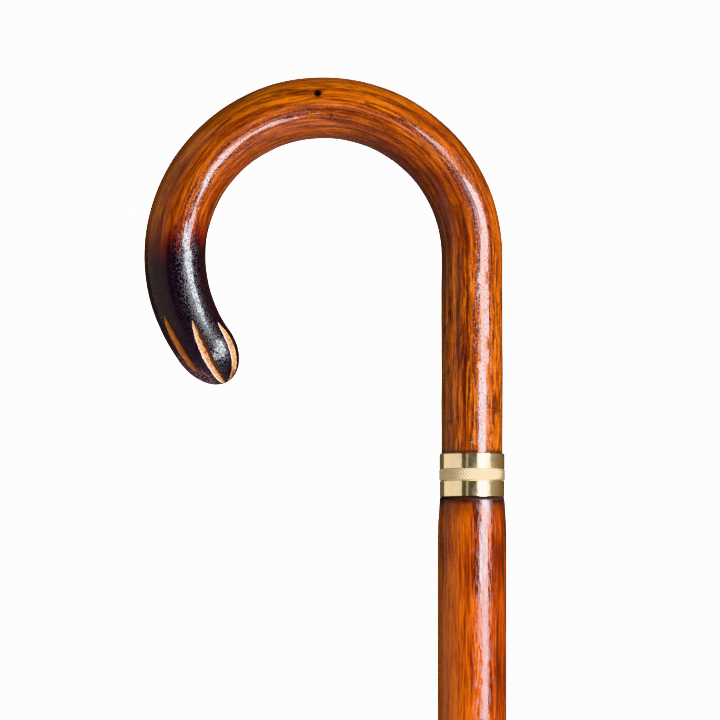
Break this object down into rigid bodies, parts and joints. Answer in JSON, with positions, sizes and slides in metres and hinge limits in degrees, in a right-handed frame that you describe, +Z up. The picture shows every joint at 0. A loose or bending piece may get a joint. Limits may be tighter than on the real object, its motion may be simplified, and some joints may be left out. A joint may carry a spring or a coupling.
{
  "type": "walking cane",
  "caption": "Crook-handled wooden walking cane with a screwed brass collar that lets the handle come off, a carved and scorched handle nose, and a rubber tip.",
  "frame": {"origin": "centre of the rubber tip's ground face, on the shaft's axis", "axes": "+Z up the shaft towards the handle; the crook lies in the XZ plane and opens towards -X; +Y is square to the crook's plane"},
  "size_m": [0.1323, 0.035, 0.92],
  "materials": {
    "handle_wood": "gloss",
    "shaft_wood": "gloss",
    "brass": "polished",
    "steel": "satin",
    "washer_leather": "matte",
    "tip_rubber": "matte"
  },
  "bodies": {
    "shaft": {"shaft": "shaft_wood", "lower_collar": "brass", "socket_insert": "brass", "rubber_tip": "tip_rubber", "tip_washer": "steel"},
    "washer": {"thrust_washer": "washer_leather"},
    "handle": {"crook_handle": "handle_wood", "upper_collar": "brass", "knurled_ring": "brass", "handle_stud": "steel", "stud_pin": "steel"}
  },
  "joints": [
    {"name": "washer_rise", "type": "slide", "parent": "shaft", "child": "washer", "axis": [0, 0, 1], "range_m": [0, 0.01401]},
    {"name": "handle_unscrew", "type": "hinge", "parent": "washer", "child": "handle", "pos_m": [0, 0, 0.7785], "axis": [0, 0, 1], "range_deg": [0, 3360]}
  ],
  "couplings": [
    {"joint": "washer_rise", "follows": "handle_unscrew", "m_per_rad": 0.00023873}
  ]
}
